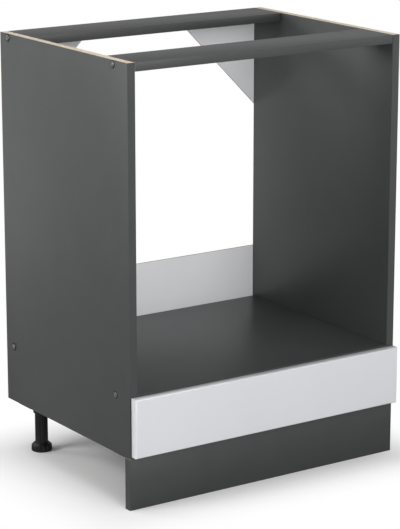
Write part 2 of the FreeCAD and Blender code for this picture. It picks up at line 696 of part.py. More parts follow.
def save_back():
    """Thin back pieces and their screws."""
    save("rear_back_strip", back_strip())
    gusset = left_gusset()
    save("left_back_gusset", gusset)
    save("right_back_gusset", mirrored(gusset))
    strip_points = strip_side_screw_points() + strip_shelf_screw_points()
    strip_screws = screw_group(strip_points, BACKWARD, HDF_SCREW_LENGTH)
    save("back_strip_screws", Part.Compound(both_sides(strip_screws)))
    gusset_screws = screw_group(gusset_screw_points(), BACKWARD, HDF_SCREW_LENGTH)
    save("gusset_screws", Part.Compound(both_sides(gusset_screws)))


def save_joinery():
    """Connector screws, cover caps and dowels of each side."""
    screws = [aimed(connector_screw(), point, RIGHTWARD * -1) for point in connector_points()]
    caps = [aimed(cover_cap(), point, RIGHTWARD * -1) for point in connector_points()]
    dowels = [aimed(dowel(), point, RIGHTWARD) for point in dowel_points()]
    groups = {"connector_screws": screws, "cover_caps": caps, "dowels": dowels}
    for name, shapes in groups.items():
        group = Part.Compound(shapes)
        save("left_" + name, group)
        save("right_" + name, mirrored(group))


def save_legs():
    """Bracket, tube and foot of each of the four legs."""
    for row, leg_y in LEG_ROWS.items():
        bracket = left_leg_bracket(leg_y)
        save(row + "_left_leg_bracket", bracket)
        save(row + "_right_leg_bracket", mirrored(bracket))
        for side_name, side in (("left", -1), ("right", 1)):
            save(row + "_" + side_name + "_leg_tube", at_leg(fluted_tube(), side, leg_y))
            save(row + "_" + side_name + "_foot", at_leg(screw_foot(), side, leg_y))
    screws = screw_group(bracket_screw_points(), RIGHTWARD, SIDE_SCREW_LENGTH)
    save("leg_bracket_screws", Part.Compound(both_sides(screws)))


def save_front_fixings():
    """Plinth clips and fascia angles with their screws."""
    clip = left_plinth_clip()
    save("left_plinth_clip", clip)
    save("right_plinth_clip", mirrored(clip))
    clip_screws = screw_group(clip_screw_points(), BACKWARD, FRONT_SCREW_LENGTH)
    save("plinth_clip_screws", Part.Compound(both_sides(clip_screws)))
    angle = left_fascia_angle()
    save("left_fascia_angle", angle)
    save("right_fascia_angle", mirrored(angle))
    into_side, into_fascia = angle_screw_points()
    angle_screws = screw_group(into_side, RIGHTWARD, SIDE_SCREW_LENGTH)
    angle_screws += screw_group(into_fascia, BACKWARD, FRONT_SCREW_LENGTH)
    save("fascia_angle_screws", Part.Compound(both_sides(angle_screws)))


os.makedirs("parts", exist_ok=True)
save_boards()
save_back()
save_joinery()
save_legs()
save_front_fixings()
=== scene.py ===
import math

import bmesh
import bpy
from mathutils import Matrix, Vector


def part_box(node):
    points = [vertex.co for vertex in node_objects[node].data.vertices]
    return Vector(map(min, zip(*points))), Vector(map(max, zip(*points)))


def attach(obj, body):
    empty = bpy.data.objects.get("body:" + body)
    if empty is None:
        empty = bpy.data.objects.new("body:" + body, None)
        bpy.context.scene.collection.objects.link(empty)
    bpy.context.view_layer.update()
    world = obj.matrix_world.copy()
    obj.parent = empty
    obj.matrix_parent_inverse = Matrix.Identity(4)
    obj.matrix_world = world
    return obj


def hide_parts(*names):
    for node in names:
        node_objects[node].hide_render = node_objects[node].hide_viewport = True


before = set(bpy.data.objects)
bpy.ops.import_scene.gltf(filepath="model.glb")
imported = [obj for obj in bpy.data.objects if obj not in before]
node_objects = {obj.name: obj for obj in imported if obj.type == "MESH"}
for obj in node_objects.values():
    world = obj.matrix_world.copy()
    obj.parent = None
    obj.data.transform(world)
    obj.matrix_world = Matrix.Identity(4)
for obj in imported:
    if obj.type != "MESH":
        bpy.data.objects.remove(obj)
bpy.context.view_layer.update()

mm = 0.001


# ---------------------------------------------------------------------------------------------
# Side panels
# Two upright 16 mm chipboard panels with a fine-grained anthracite melamine skin on both faces.
# They are sawn to size; only the front edge is taped, so the top, rear and bottom edges stay raw.

skin_thickness = 0.45 * mm
arris = 0.2 * mm
chip_length = 7.0 * mm
chip_width = 2.2 * mm
weld_distance = 0.001 * mm


def material_tree(name, roughness, colour=(0.5, 0.5, 0.5), metallic=0.0):
    """A new material with its Principled shader set, as (material, nodes, links, shader)."""
    material = bpy.data.materials.new(name)
    material.use_nodes = True
    nodes = material.node_tree.nodes
    shader = nodes["Principled BSDF"]
    shader.inputs["Base Color"].default_value = (*colour, 1.0)
    shader.inputs["Roughness"].default_value = roughness
    shader.inputs["Metallic"].default_value = metallic
    return material, nodes, material.node_tree.links, shader


def object_coordinates(nodes, links, stretch=(1.0, 1.0, 1.0)):
    """Object coordinates, scaled along each axis."""
    place = nodes.new("ShaderNodeTexCoord")
    mapping = nodes.new("ShaderNodeMapping")
    mapping.inputs["Scale"].default_value = stretch
    links.new(place.outputs["Object"], mapping.inputs["Vector"])
    return mapping.outputs["Vector"]


def noise(nodes, links, place, scale, detail=2.0, roughness=0.5):
    """Noise with a scale in cells for each metre."""
    texture = nodes.new("ShaderNodeTexNoise")
    texture.inputs["Scale"].default_value = scale
    texture.inputs["Detail"].default_value = detail
    texture.inputs["Roughness"].default_value = roughness
    links.new(place, texture.inputs["Vector"])
    return texture.outputs["Fac"]


def ramp(nodes, links, value, *stops):
    """Colours along a value, each stop (position, colour)."""
    colours = nodes.new("ShaderNodeValToRGB")
    elements = colours.color_ramp.elements
    for element, (position, colour) in zip(elements, (stops[0], stops[-1])):
        element.position = position
        element.color = (*colour, 1.0)
    for position, colour in stops[1:-1]:
        element = elements.new(position)
        element.color = (*colour, 1.0)
    links.new(value, colours.inputs["Fac"])
    return colours.outputs["Color"]


def spread(nodes, links, value, low, high):
    """A value from 0 to 1, mapped to a range."""
    mapped = nodes.new("ShaderNodeMapRange")
    mapped.inputs["To Min"].default_value = low
    mapped.inputs["To Max"].default_value = high
    links.new(value, mapped.inputs["Value"])
    return mapped.outputs["Result"]


def relief(nodes, links, shader, height, depth, strength=1.0):
    """Raise the surface by a height from 0 to 1 times a depth in metres."""
    bump = nodes.new("ShaderNodeBump")
    bump.inputs["Strength"].default_value = strength
    bump.inputs["Distance"].default_value = depth
    links.new(height, bump.inputs["Height"])
    links.new(bump.outputs["Normal"], shader.inputs["Normal"])


def anthracite_melamine():
    """Printed melamine film, pressed with a fine pearl grain."""
    material, nodes, links, shader = material_tree("anthracite_melamine", 0.5)
    place = object_coordinates(nodes, links)
    clouds = noise(nodes, links, place, 22.0, 3.0)
    pearl = noise(nodes, links, place, 1500.0, 2.0, 0.6)
    tint = ramp(
        nodes, links, clouds,
        (0.25, (0.045, 0.047, 0.0475)),
        (0.75, (0.051, 0.053, 0.0535)),
    )
    links.new(tint, shader.inputs["Base Color"])
    links.new(spread(nodes, links, pearl, 0.33, 0.47), shader.inputs["Roughness"])
    relief(nodes, links, shader, pearl, 0.06 * mm, 0.5)
    return material


def raw_chipboard():
    """Sawn edge of a chipboard: pale wood chips lying along the board, with darker gaps."""
    material, nodes, links, shader = material_tree("raw_chipboard", 0.85)
    along = (1.0 / chip_width, 1.0 / chip_length, 1.0 / chip_width)
    place = object_coordinates(nodes, links, along)
    chips = nodes.new("ShaderNodeTexVoronoi")
    chips.inputs["Scale"].default_value = 1.0
    chips.inputs["Randomness"].default_value = 1.0
    links.new(place, chips.inputs["Vector"])
    tone = nodes.new("ShaderNodeSeparateColor")
    links.new(chips.outputs["Color"], tone.inputs["Color"])
    wood = ramp(
        nodes, links, tone.outputs["Red"],
        (0.0, (0.72, 0.58, 0.42)),
        (0.3, (0.91, 0.79, 0.63)),
        (1.0, (0.96, 0.89, 0.76)),
    )
    grain = noise(nodes, links, place, 3.0, 4.0, 0.7)
    shade = nodes.new("ShaderNodeMix")
    shade.data_type = "RGBA"
    shade.blend_type = "MULTIPLY"
    shade.inputs["Factor"].default_value = 0.5
    links.new(wood, shade.inputs["A"])
    darker_gaps = ramp(nodes, links, grain, (0.3, (0.78, 0.67, 0.54)), (0.6, (1.0, 1.0, 1.0)))
    links.new(darker_gaps, shade.inputs["B"])
    links.new(shade.outputs["Result"], shader.inputs["Base Color"])
    relief(nodes, links, shader, grain, 0.3 * mm, 0.7)
    return material


melamine = anthracite_melamine()
chipboard = raw_chipboard()


def box_mesh(low, high):
    """A box between two corners, as a bmesh."""
    mesh = bmesh.new()
    bmesh.ops.create_cube(mesh, size=1.0)
    bmesh.ops.scale(mesh, vec=high - low, verts=mesh.verts)
    bmesh.ops.translate(mesh, vec=(low + high) / 2, verts=mesh.verts)
    return mesh


def round_edges(mesh, edges, radius, segments=2):
    """Round some edges of a bmesh."""
    bmesh.ops.bevel(
        mesh,
        geom=edges,
        offset=radius,
        offset_type="OFFSET",
        affect="EDGES",
        segments=segments,
        profile=0.5,
        material=-1,
    )


def sharp_edges(mesh, degrees=30):
    """The edges where two faces meet at more than an angle."""
    limit = math.radians(degrees)
    inner = [edge for edge in mesh.edges if len(edge.link_faces) == 2]
    return [edge for edge in inner if edge.calc_face_angle() > limit]


def piece(name, mesh, materials, body, nodes, smooth_degrees=35):
    """Turn a bmesh into a named object that rides on a body and stands for CAD nodes."""
    data = bpy.data.meshes.new(name)
    mesh.to_mesh(data)
    mesh.free()
    for material in materials:
        data.materials.append(material)
    data.shade_smooth()
    data.set_sharp_from_angle(angle=math.radians(smooth_degrees))
    made = bpy.data.objects.new(name, data)
    bpy.context.scene.collection.objects.link(made)
    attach(made, body)
    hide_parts(*nodes)
    return made


def faced_board(node, across, body="carcass"):
    """A board like a CAD node's, faced on its two large sides. across is the thickness axis."""
    low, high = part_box(node)
    mesh = box_mesh(low, high)
    normal = Vector((0, 0, 0))
    normal[across] = 1
    for depth in (low[across] + skin_thickness, high[across] - skin_thickness):
        plane = normal * depth
        everything = mesh.verts[:] + mesh.edges[:] + mesh.faces[:]
        bmesh.ops.bisect_plane(
            mesh, geom=everything, dist=weld_distance, plane_co=plane, plane_no=normal
        )
    for face in mesh.faces:
        centre = face.calc_center_median()[across]
        in_core = low[across] + skin_thickness < centre < high[across] - skin_thickness
        face.material_index = 1 if in_core else 0
    round_edges(mesh, sharp_edges(mesh), arris)
    return piece(node + "_board", mesh, [melamine, chipboard], body, [node])


def finish_node(node, material):
    """Give a CAD node that stays in view its material."""
    node_objects[node].data.materials.clear()
    node_objects[node].data.materials.append(material)


for side in ("left", "right"):
    faced_board(side + "_side_panel", 0)


# ---------------------------------------------------------------------------------------------
# Edging
# Thin plastic tape, hot-glued to the front edge of each board and trimmed, with its corners
# eased. It is the melamine's colour, a shade smoother.

def anthracite_edging():
    """Matt plastic edging tape."""
    material, nodes, links, shader = material_tree("anthracite_edging", 0.42)
    place = object_coordinates(nodes, links)
    fine = noise(nodes, links, place, 900.0, 2.0)
    clouds = noise(nodes, links, place, 18.0, 2.0)
    tint = ramp(nodes, links, clouds, (0.3, (0.046, 0.048, 0.0485)), (0.7, (0.052, 0.054, 0.0545)))
    links.new(tint, shader.inputs["Base Color"])
    links.new(spread(nodes, links, fine, 0.36, 0.48), shader.inputs["Roughness"])
    relief(nodes, links, shader, fine, 0.03 * mm, 0.4)
    return material


edging = anthracite_edging()
for band in ("left_side", "right_side", "shelf"):
    finish_node(band + "_edge_band", edging)
finish_node("plinth_end_bands", edging)


# ---------------------------------------------------------------------------------------------
# Oven shelf and top rails
# The same faced board, laid flat between the side panels. The shelf carries the oven, and the
# two rails at the top, whose ends leave a fine open joint, take the worktop's screws.

rail_end_gap = 1.0 * mm

faced_board("oven_shelf", 2)
for row in ("front", "rear"):
    rail = faced_board(row + "_top_rail", 2)
    band = row + "_rail_edge_band"
    tape_mesh = box_mesh(*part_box(band))
    round_edges(tape_mesh, sharp_edges(tape_mesh), arris)
    tape = piece(row + "_rail_tape", tape_mesh, [edging], "carcass", [band])
    for vert in rail.data.vertices[:] + tape.data.vertices[:]:
        vert.co.x -= math.copysign(rail_end_gap, vert.co.x)


# ---------------------------------------------------------------------------------------------
# Back strip and gussets
# 3 mm fibreboard, lacquered light grey on the inside and raw brown behind, screwed on from
# behind. The strip closes the back above the shelf; the triangles keep the frame square.

facing_forwards = -0.7


def grey_lacquer():
    """Roller-coated fibreboard with a slight orange peel."""
    material, nodes, links, shader = material_tree("light_grey_lacquer", 0.45)
    place = object_coordinates(nodes, links)
    clouds = noise(nodes, links, place, 9.0, 3.0)
    peel = noise(nodes, links, place, 420.0, 2.0)
    tint = ramp(nodes, links, clouds, (0.3, (0.87, 0.875, 0.895)), (0.7, (0.90, 0.905, 0.925)))
    links.new(tint, shader.inputs["Base Color"])
    links.new(spread(nodes, links, peel, 0.38, 0.52), shader.inputs["Roughness"])
    relief(nodes, links, shader, peel, 0.03 * mm, 0.4)
    return material


def raw_fibreboard():
    """Brown felted fibres of the uncoated face and the sawn edges."""
    material, nodes, links, shader = material_tree("raw_fibreboard", 0.8)
    place = object_coordinates(nodes, links)
    fibres = noise(nodes, links, place, 700.0, 5.0, 0.75)
    clouds = noise(nodes, links, place, 30.0, 3.0)
    both = nodes.new("ShaderNodeMath")
    both.operation = "MULTIPLY_ADD"
    both.inputs[1].default_value = 0.6
    links.new(fibres, both.inputs[0])
    links.new(spread(nodes, links, clouds, 0.0, 0.4), both.inputs[2])
    tint = ramp(
        nodes, links, both.outputs["Value"],
        (0.25, (0.13, 0.075, 0.04)),
        (0.5, (0.23, 0.14, 0.08)),
        (0.8, (0.34, 0.22, 0.13)),
    )
    links.new(tint, shader.inputs["Base Color"])
    relief(nodes, links, shader, fibres, 0.15 * mm, 0.6)
    return material


lacquer = grey_lacquer()
fibreboard = raw_fibreboard()


def lacquered_sheet(name, mesh, node):
    """A fibreboard sheet: its faces that look forwards are lacquered, all others stay raw."""
    mesh.normal_update()
    for face in mesh.faces:
        face.material_index = 0 if face.normal.y < facing_forwards else 1
    round_edges(mesh, sharp_edges(mesh), arris)
    piece(name, mesh, [lacquer, fibreboard], "carcass", [node])


lacquered_sheet("back_strip_sheet", box_mesh(*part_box("rear_back_strip")), "rear_back_strip")

for side, outer in (("left", 0), ("right", 1)):
    node = side + "_back_gusset"
    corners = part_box(node)
    low, high = corners
    corner = Vector((corners[outer].x, low.y, high.z))
    inward = Vector((corners[1 - outer].x, low.y, high.z))
    lowest = Vector((corners[outer].x, low.y, low.z))
    gusset_mesh = bmesh.new()
    points = [gusset_mesh.verts.new(point) for point in (corner, inward, lowest)]
    triangle = gusset_mesh.faces.new(points)
    grown = bmesh.ops.extrude_face_region(gusset_mesh, geom=[triangle])
    moved = [element for element in grown["geom"] if isinstance(element, bmesh.types.BMVert)]
    bmesh.ops.translate(gusset_mesh, vec=(0, high.y - low.y, 0), verts=moved)
    bmesh.ops.recalc_face_normals(gusset_mesh, faces=gusset_mesh.faces)
    lacquered_sheet(side + "_gusset_sheet", gusset_mesh, node)


# ---------------------------------------------------------------------------------------------
# Screws and dowels
# Bright zinc-plated screws with cross recesses hold the thin back pieces, brackets, clips and
# angles. Under the cover caps, long connector screws and beech dowels join the boards.

def zinc_plate():
    """Zinc-plated steel with a faint cloudy bloom."""
    material, nodes, links, shader = material_tree("zinc_plate", 0.35, metallic=1.0)
    place = object_coordinates(nodes, links)
    bloom = noise(nodes, links, place, 160.0, 4.0, 0.6)
    tint = ramp(nodes, links, bloom, (0.3, (0.50, 0.50, 0.48)), (0.7, (0.68, 0.68, 0.66)))
    links.new(tint, shader.inputs["Base Color"])
    links.new(spread(nodes, links, bloom, 0.26, 0.46), shader.inputs["Roughness"])
    relief(nodes, links, shader, bloom, 0.02 * mm, 0.3)
    return material


def turned_beech():
    """Beech with its grain along the dowel."""
    material, nodes, links, shader = material_tree("beech", 0.7)
    place = object_coordinates(nodes, links, (40.0, 900.0, 900.0))
    grain = noise(nodes, links, place, 1.0, 4.0, 0.6)
    tint = ramp(nodes, links, grain, (0.3, (0.50, 0.31, 0.17)), (0.7, (0.70, 0.50, 0.31)))
    links.new(tint, shader.inputs["Base Color"])
    relief(nodes, links, shader, grain, 0.1 * mm, 0.5)
    return material


zinc = zinc_plate()
beech = turned_beech()
for screws in ("back_strip", "gusset", "leg_bracket", "left_connector", "right_connector"):
    finish_node(screws + "_screws", zinc)
for dowels in ("left_dowels", "right_dowels"):
    finish_node(dowels, beech)


# ---------------------------------------------------------------------------------------------
# Cover caps
# Moulded plastic caps, pressed into the connector screws' heads, four on each outer face. Each
# has a glossy grey dome in a thin near-black ring on the panel, the ring's colour being painted
# shade of the seam round the dome; its stem plugs into the screw's socket.

cap_flange_height = 0.6 * mm
cap_groove_radius = 6.2 * mm
cap_groove_width = 0.6 * mm
cap_groove_height = 0.25 * mm
cap_dome_foot = 0.4 * mm
cap_stem_radius = 1.9 * mm
cap_steps = 48


def cap_plastic():
    """Dark grey moulded plastic with a soft gloss."""
    material, nodes, links, shader = material_tree("grey_cap_plastic", 0.22)
    place = object_coordinates(nodes, links)
    clouds = noise(nodes, links, place, 300.0, 2.0)
    tint = ramp(nodes, links, clouds, (0.3, (0.075, 0.077, 0.078)), (0.7, (0.095, 0.097, 0.098)))
    links.new(tint, shader.inputs["Base Color"])
    links.new(spread(nodes, links, clouds, 0.14, 0.22), shader.inputs["Roughness"])
    shader.inputs["Coat Weight"].default_value = 0.6
    shader.inputs["Coat Roughness"].default_value = 0.12
    relief(nodes, links, shader, clouds, 0.02 * mm, 0.3)
    return material


def seam_shade_plastic():
    """Near-black plastic of the ring round each cap: painted shade of the seam round its dome."""
    material, nodes, links, shader = material_tree("painted_seam_shade_plastic", 0.5)
    shader.inputs["Specular IOR Level"].default_value = 0.3
    clouds = noise(nodes, links, object_coordinates(nodes, links), 400.0, 2.0)
    tint = ramp(nodes, links, clouds, (0.3, (0.010, 0.010, 0.0105)), (0.7, (0.015, 0.015, 0.0155)))
    links.new(tint, shader.inputs["Base Color"])
    links.new(spread(nodes, links, clouds, 0.45, 0.6), shader.inputs["Roughness"])
    return material


def solids_of(node):
    """The lowest and highest corner of each separate solid in a CAD node."""
    mesh = bmesh.new()
    mesh.from_mesh(node_objects[node].data)
    bmesh.ops.remove_doubles(mesh, verts=mesh.verts, dist=weld_distance)
    unseen = set(mesh.verts)
    boxes = []
    while unseen:
        reached = [unseen.pop()]
        for vert in reached:
            for edge in vert.link_edges:
                neighbour = edge.other_vert(vert)
                if neighbour in unseen:
                    unseen.remove(neighbour)
                    reached.append(neighbour)
        low = Vector([min(vert.co[axis] for vert in reached) for axis in range(3)])
        high = Vector([max(vert.co[axis] for vert in reached) for axis in range(3)])
        boxes.append((low, high))
    mesh.free()
    return sorted(boxes, key=lambda box: (round(box[0].z, 4), round(box[0].y, 4), box[0].x))


def spun(profile, steps):
    """Spin a profile of (radius, height) points about the Z axis into a closed mesh."""
    mesh = bmesh.new()
    verts = [mesh.verts.new((radius, 0, height)) for radius, height in profile]
    edges = [mesh.edges.new(pair) for pair in zip(verts, verts[1:])]
    bmesh.ops.spin(
        mesh,
        geom=verts + edges,
        cent=(0, 0, 0),
        axis=(0, 0, 1),
        angle=2 * math.pi,
        steps=steps,
        use_merge=True,
    )
    bmesh.ops.remove_doubles(mesh, verts=mesh.verts, dist=weld_distance)
    bmesh.ops.recalc_face_normals(mesh, faces=mesh.faces)
    return mesh


def arc(centre, radius, start, end, steps):
    """Points on an arc in the profile plane, from one angle to another in degrees."""
    angles = [math.radians(start + (end - start) * step / steps) for step in range(steps + 1)]
    return [(centre[0] + radius * math.cos(a), centre[1] + radius * math.sin(a)) for a in angles]


def add_copy(target, source, place):
    """Add a moved copy of one bmesh to another."""
    data = bpy.data.meshes.new("copy")
    source.to_mesh(data)
    data.transform(place)
    target.from_mesh(data)
    bpy.data.meshes.remove(data)


def cap_profile(radius, dome, stem):
    """Half section of a cap, from the end of its stem round the flange to the top of its dome."""
    dome_edge = cap_groove_radius - cap_groove_width
    rise = (dome - cap_dome_foot) / dome_edge
    rim = cap_flange_height / 2
    profile = [(0, -stem), (cap_stem_radius, -stem), (cap_stem_radius, 0), (radius - arris, 0)]
    profile += arc((radius - rim, rim), rim, start=-60, end=90, steps=5)
    profile += [
        (cap_groove_radius, cap_flange_height),
        (cap_groove_radius - arris, cap_groove_height),
        (dome_edge + arris, cap_groove_height),
        (dome_edge, cap_dome_foot),
    ]
    quarter = arc((0, 0), dome_edge, start=0, end=90, steps=10)
    profile += [(x, cap_dome_foot + y * rise) for x, y in quarter[1:]]
    return profile


cap_grey = cap_plastic()
# The ring's near-black colour is painted shade of the seam round each dome.
seam_shade_black = seam_shade_plastic()
for side, outward in (("left", -1), ("right", 1)):
    node = side + "_cover_caps"
    face_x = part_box(side + "_side_panel")[0 if outward < 0 else 1].x
    caps_mesh = bmesh.new()
    for low, high in solids_of(node):
        tip_x, stem_x = (low.x, high.x) if outward < 0 else (high.x, low.x)
        profile = cap_profile((high.y - low.y) / 2, abs(tip_x - face_x), abs(stem_x - face_x))
        cap = spun(profile, cap_steps)
        for face in cap.faces:
            # Faces beyond the dome's edge take the ring colour, which is painted shade of the
            # seam.
            in_painted_shade_ring = face.calc_center_median().xy.length > cap_groove_radius - cap_groove_width
            face.material_index = int(in_painted_shade_ring)
        middle = Vector((face_x, (low.y + high.y) / 2, (low.z + high.z) / 2))
        turn = Matrix.Rotation(outward * math.pi / 2, 4, "Y")
        add_copy(caps_mesh, cap, Matrix.Translation(middle) @ turn)
        cap.free()
    piece(side + "_caps", caps_mesh, [cap_grey, seam_shade_black], "carcass", [node])


# ---------------------------------------------------------------------------------------------
# Leg brackets
# Black moulded brackets, each screwed to a side panel's inner face with three screws. A lip
# runs under the panel's bottom edge and takes the load; the socket beside it holds the leg.

def black_moulding():
    """Black plastic with a fine spark-eroded texture and faint flow marks."""
    material, nodes, links, shader = material_tree("black_moulding", 0.4)
    shader.inputs["Specular IOR Level"].default_value = 0.3
    place = object_coordinates(nodes, links)
    texture = noise(nodes, links, place, 2600.0, 2.0, 0.6)
    flow = noise(nodes, links, object_coordinates(nodes, links, (60.0, 60.0, 15.0)), 1.0, 3.0)
    tint = ramp(nodes, links, flow, (0.3, (0.006, 0.006, 0.0065)), (0.7, (0.010, 0.010, 0.0105)))
    links.new(tint, shader.inputs["Base Color"])
    links.new(spread(nodes, links, texture, 0.3, 0.5), shader.inputs["Roughness"])
    relief(nodes, links, shader, texture, 0.04 * mm, 0.5)
    return material


black = black_moulding()
leg_names = [row + "_" + side for row in ("front", "rear") for side in ("left", "right")]
for leg in leg_names:
    finish_node(leg + "_leg_bracket", black)


# ---------------------------------------------------------------------------------------------
# Leg tubes
# Black moulded tubes with a plain collar and a spigot that is pressed into the bracket's socket.
# Fine flutes run down the outside for grip, and a smooth bore takes the foot's stem.

tube_radius = 12.5 * mm
tube_bore_radius = 7.3 * mm
tube_bore_depth = 44.5 * mm
tube_plain_end = 4.0 * mm
tube_ease = 0.4 * mm
flute_count = 14
flute_radius = 1.2 * mm
steps_per_flute = 10
collar_radius = 15.5 * mm
collar_height = 18.0 * mm
spigot_radius = 10.0 * mm
spigot_length = 26.0 * mm


def scalloped(angle, radius, count, groove_radius, groove_depth):
    """Radius of a round outline at an angle, where round grooves are cut into it all round."""
    pitch = 2 * math.pi / count
    off = (angle + pitch / 2) % pitch - pitch / 2
    reach = radius + groove_radius - groove_depth
    inside = groove_radius ** 2 - (reach * math.sin(off)) ** 2
    if inside <= 0:
        return radius
    return min(radius, reach * math.cos(off) - math.sqrt(inside))


def stacked(levels, steps):
    """A closed mesh through rings one above another. A level is (height, radius at an angle)."""
    mesh = bmesh.new()
    angles = [2 * math.pi * step / steps for step in range(steps)]
    height, radius = levels[0]
    ring = bmesh.ops.create_circle(mesh, cap_ends=True, segments=steps, radius=1.0)["verts"]
    for vert, angle in zip(ring, angles):
        vert.co = (radius(angle) * math.cos(angle), radius(angle) * math.sin(angle), height)
    edges = [mesh.edges.get((ring[step - 1], ring[step])) for step in range(steps)]
    for height, radius in levels[1:]:
        grown = bmesh.ops.extrude_edge_only(mesh, edges=edges)["geom"]
        edges = [item for item in grown if isinstance(item, bmesh.types.BMEdge)]
        edges = [edge for edge in edges if len(edge.link_faces) == 1]
        for vert in {vert for edge in edges for vert in edge.verts}:
            angle = math.atan2(vert.co.y, vert.co.x) % (2 * math.pi)
            angle = angles[round(angle / (2 * math.pi) * steps) % steps]
            vert.co = (radius(angle) * math.cos(angle), radius(angle) * math.sin(angle), height)
    bmesh.ops.holes_fill(mesh, edges=edges, sides=0)
    bmesh.ops.recalc_face_normals(mesh, faces=mesh.faces)
    return mesh


def plain(radius):
    """A round outline."""
    return lambda angle: radius


def fluted(angle):
    """The tube's outline between its plain ends."""
    return scalloped(angle, tube_radius, flute_count, flute_radius, flute_radius)


def tube_levels(bottom, top):
    """Rings of a tube, from the top of its bore down, round its rim and up to its spigot's end."""
    collar_top = top - spigot_length
    collar_bottom = collar_top - collar_height
    flutes_bottom = bottom + tube_plain_end
    flutes_top = collar_bottom - tube_plain_end
    return [
        (bottom + tube_bore_depth, plain(tube_bore_radius)),
        (bottom + tube_ease, plain(tube_bore_radius)),
        (bottom, plain(tube_bore_radius + tube_ease)),
        (bottom, plain(tube_radius - tube_ease)),
        (bottom + tube_ease, plain(tube_radius)),
        (flutes_bottom, plain(tube_radius)),
        (flutes_bottom + flute_radius, fluted),
        (flutes_top - flute_radius, fluted),
        (flutes_top, plain(tube_radius)),
        (collar_bottom, plain(tube_radius)),
        (collar_bottom, plain(collar_radius - tube_ease)),
        (collar_bottom + tube_ease, plain(collar_radius)),
        (collar_top - tube_ease, plain(collar_radius)),
        (collar_top, plain(collar_radius - tube_ease)),
        (collar_top, plain(spigot_radius)),
        (top - tube_ease, plain(spigot_radius)),
        (top, plain(spigot_radius - tube_ease)),
    ]


def centre_on(mesh, low, high):
    """Move a mesh that stands round the Z axis to the middle of a box."""
    middle = Vector(((low.x + high.x) / 2, (low.y + high.y) / 2, 0))
    bmesh.ops.translate(mesh, vec=middle, verts=mesh.verts)


for leg in leg_names:
    low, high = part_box(leg + "_leg_tube")
    tube_mesh = stacked(tube_levels(low.z, high.z), flute_count * steps_per_flute)
    centre_on(tube_mesh, low, high)
    piece(
        leg + "_fluted_tube", tube_mesh, [black], "carcass", [leg + "_leg_tube"],
        smooth_degrees=25,
    )


# ---------------------------------------------------------------------------------------------
# Screw feet
# Black moulded feet with grip notches round the rim and a cup that takes the tube's end. Each
# turns on a threaded stem inside its tube, and so lifts or lowers that corner of the unit.

foot_rim_height = 11.0 * mm
foot_shoulder_radius = 15.0 * mm
foot_top = 16.0 * mm
foot_ease = 1.0 * mm
cup_radius = 12.8 * mm
cup_floor = 4.5 * mm
cup_ease = 0.4 * mm
notch_count = 12
notch_radius = 2.6 * mm
notch_depth = 1.7 * mm
notch_bottom = 4.0 * mm
steps_per_notch = 14
stem_radius = 7.0 * mm
stem_root_radius = 6.2 * mm
stem_sunk = 2.0 * mm
thread_pitch = 3.0 * mm
ridge_half_width = 0.3
ridge_slope = 6.0
rings_per_turn = 8
stem_steps = 40


def notched(radius):
    """The foot's outline where its notches are cut, around a given radius."""
    def outline(angle):
        return min(radius, scalloped(angle, foot_radius, notch_count, notch_radius, notch_depth))
    return outline


def thread(height):
    """The stem's outline at a height: a helical ridge with sloping flanks, measured in turns."""
    def outline(angle):
        turn = (height / thread_pitch + angle / (2 * math.pi)) % 1.0
        ridge = min(1.0, max(0.0, (ridge_half_width - abs(turn - 0.5)) * ridge_slope))
        return stem_root_radius + (stem_radius - stem_root_radius) * ridge
    return outline


for leg in leg_names:
    low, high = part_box(leg + "_foot")
    foot_radius = (high.x - low.x) / 2
    foot_mesh = stacked(
        [
            (low.z, plain(foot_radius - foot_ease)),
            (low.z + foot_ease, plain(foot_radius)),
            (low.z + notch_bottom, plain(foot_radius)),
            (low.z + notch_bottom, notched(foot_radius)),
            (low.z + foot_rim_height, notched(foot_radius)),
            (low.z + foot_rim_height + foot_ease, notched(foot_radius - foot_ease)),
            (low.z + foot_top, notched(foot_shoulder_radius)),
            (low.z + foot_top, plain(cup_radius + cup_ease)),
            (low.z + foot_top - cup_ease, plain(cup_radius)),
            (low.z + cup_floor, plain(cup_radius)),
        ],
        notch_count * steps_per_notch,
    )
    stem_bottom = low.z + cup_floor - stem_sunk
    stem_length = high.z - stem_bottom
    ring_count = round(stem_length / thread_pitch * rings_per_turn)
    heights = [stem_bottom + stem_length * ring / ring_count for ring in range(ring_count)]
    stem_levels = [(height, thread(height)) for height in heights]
    stem_levels.append((high.z, plain(stem_root_radius)))
    stem_mesh = stacked(stem_levels, stem_steps)
    add_copy(foot_mesh, stem_mesh, Matrix.Identity(4))
    stem_mesh.free()
    centre_on(foot_mesh, low, high)
    piece(
        leg + "_screw_foot", foot_mesh, [black], leg + "_foot_body", [leg + "_foot"],
        smooth_degrees=30,
    )


# ---------------------------------------------------------------------------------------------
# Fascia panel
# A fibreboard front wrapped in pale satin foil, with softly rounded front edges. It is screwed
# from behind to two bent steel angles and stands a little clear of the side panels' edges.

fascia_round = 3.5 * mm
fascia_round_steps = 8


def satin_foil():
    """Pale satin foil over fibreboard, with a faint orange peel."""
    material, nodes, links, shader = material_tree("satin_foil", 0.25)
    place = object_coordinates(nodes, links)
    clouds = noise(nodes, links, place, 6.0, 3.0)
    peel = noise(nodes, links, place, 350.0, 2.0)
    tint = ramp(nodes, links, clouds, (0.3, (0.745, 0.755, 0.78)), (0.7, (0.77, 0.78, 0.805)))
    links.new(tint, shader.inputs["Base Color"])
    links.new(spread(nodes, links, peel, 0.2, 0.3), shader.inputs["Roughness"])
    relief(nodes, links, shader, peel, 0.015 * mm, 0.3)
    shader.inputs["Coat Weight"].default_value = 0.4
    shader.inputs["Coat Roughness"].default_value = 0.15
    return material


def edges_at(mesh, y):
    """The edges of a bmesh that lie in the plane of a given Y."""
    return [edge for edge in mesh.edges if all(abs(vert.co.y - y) < arris for vert in edge.verts)]


